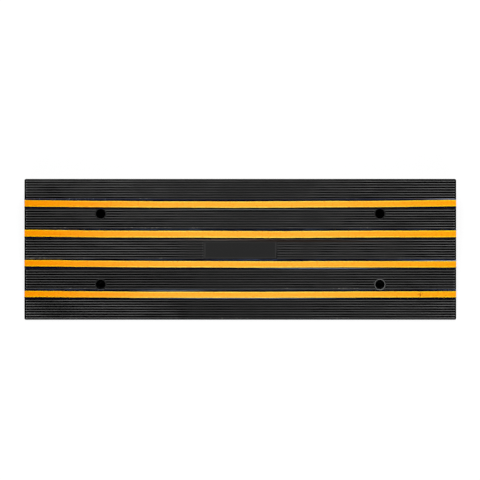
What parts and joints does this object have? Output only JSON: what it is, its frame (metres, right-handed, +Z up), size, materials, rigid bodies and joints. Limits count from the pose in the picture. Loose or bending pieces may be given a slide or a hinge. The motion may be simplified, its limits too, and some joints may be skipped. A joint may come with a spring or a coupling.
{
  "type": "rubber kerb ramp",
  "caption": "Long black rubber wedge with a ribbed tread, orange stripes, a bare centre panel and bolt holes, laid against a kerb so that wheels can roll up it.",
  "frame": {"origin": "middle of the footprint, on the road", "axes": "+X along the kerb, +Y towards the kerb, +Z up; the toe is at -Y"},
  "size_m": [1, 0.32, 0.0645],
  "materials": {
    "black_rubber": "moulded, matt",
    "orange_rubber": "moulded, satin",
    "black_steel": "black oxide"
  },
  "bodies": {
    "root": {"ramp_body": "black_rubber", "stripe_top": "orange_rubber", "stripe_upper": "orange_rubber", "stripe_lower": "orange_rubber", "stripe_toe": "orange_rubber", "seat_washer_upper_left": "black_steel", "seat_washer_upper_right": "black_steel", "seat_washer_lower_left": "black_steel", "seat_washer_lower_right": "black_steel", "bolt_bush_upper_left": "black_steel", "bolt_bush_upper_right": "black_steel", "bolt_bush_lower_left": "black_steel", "bolt_bush_lower_right": "black_steel"}
  },
  "joints": []
}
